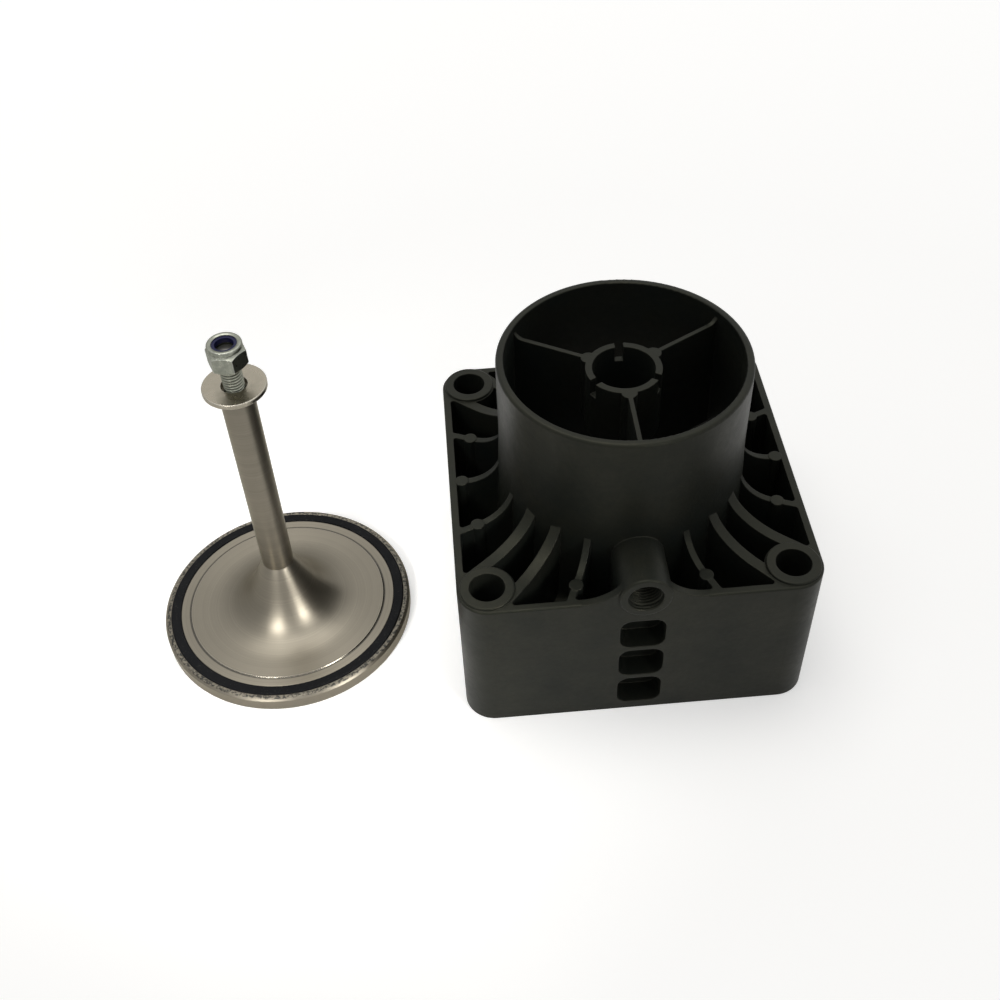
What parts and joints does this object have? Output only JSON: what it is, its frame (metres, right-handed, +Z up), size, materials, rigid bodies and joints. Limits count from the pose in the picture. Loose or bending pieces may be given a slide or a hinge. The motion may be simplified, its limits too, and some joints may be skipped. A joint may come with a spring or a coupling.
{
  "type": "unloader valve",
  "caption": "Moulded valve housing with a round inlet tube, swept ribs and a spoked guide hub, and the metal poppet valve that seals in it, standing beside it.",
  "frame": {"origin": "middle of the housing's base, on the axis of the inlet tube", "axes": "+Z up along the inlet tube, -Y out of the threaded port, -X from the housing towards the valve that stands beside it"},
  "size_m": [0.2655, 0.1392, 0.1497],
  "materials": {
    "black_plastic": "moulded glass-filled plastic, slightly mottled",
    "turned_aluminium": "turned, with fine rings",
    "black_rubber": "smooth black rubber",
    "zinc_plated_steel": "bright zinc plate",
    "plain_steel": "polished steel",
    "blue_nylon": "dark blue nylon"
  },
  "bodies": {
    "housing": {"housing": "black_plastic"},
    "valve": {"valve": "turned_aluminium", "seal_ring": "black_rubber", "stem_stud": "zinc_plated_steel", "washer": "plain_steel", "lock_nut": "zinc_plated_steel", "nylon_ring": "blue_nylon"}
  },
  "joints": [
    {"name": "valve_stroke", "type": "slide", "parent": "housing", "child": "valve", "axis": [0, 0, 1], "range_m": [0, 0.018]}
  ]
}
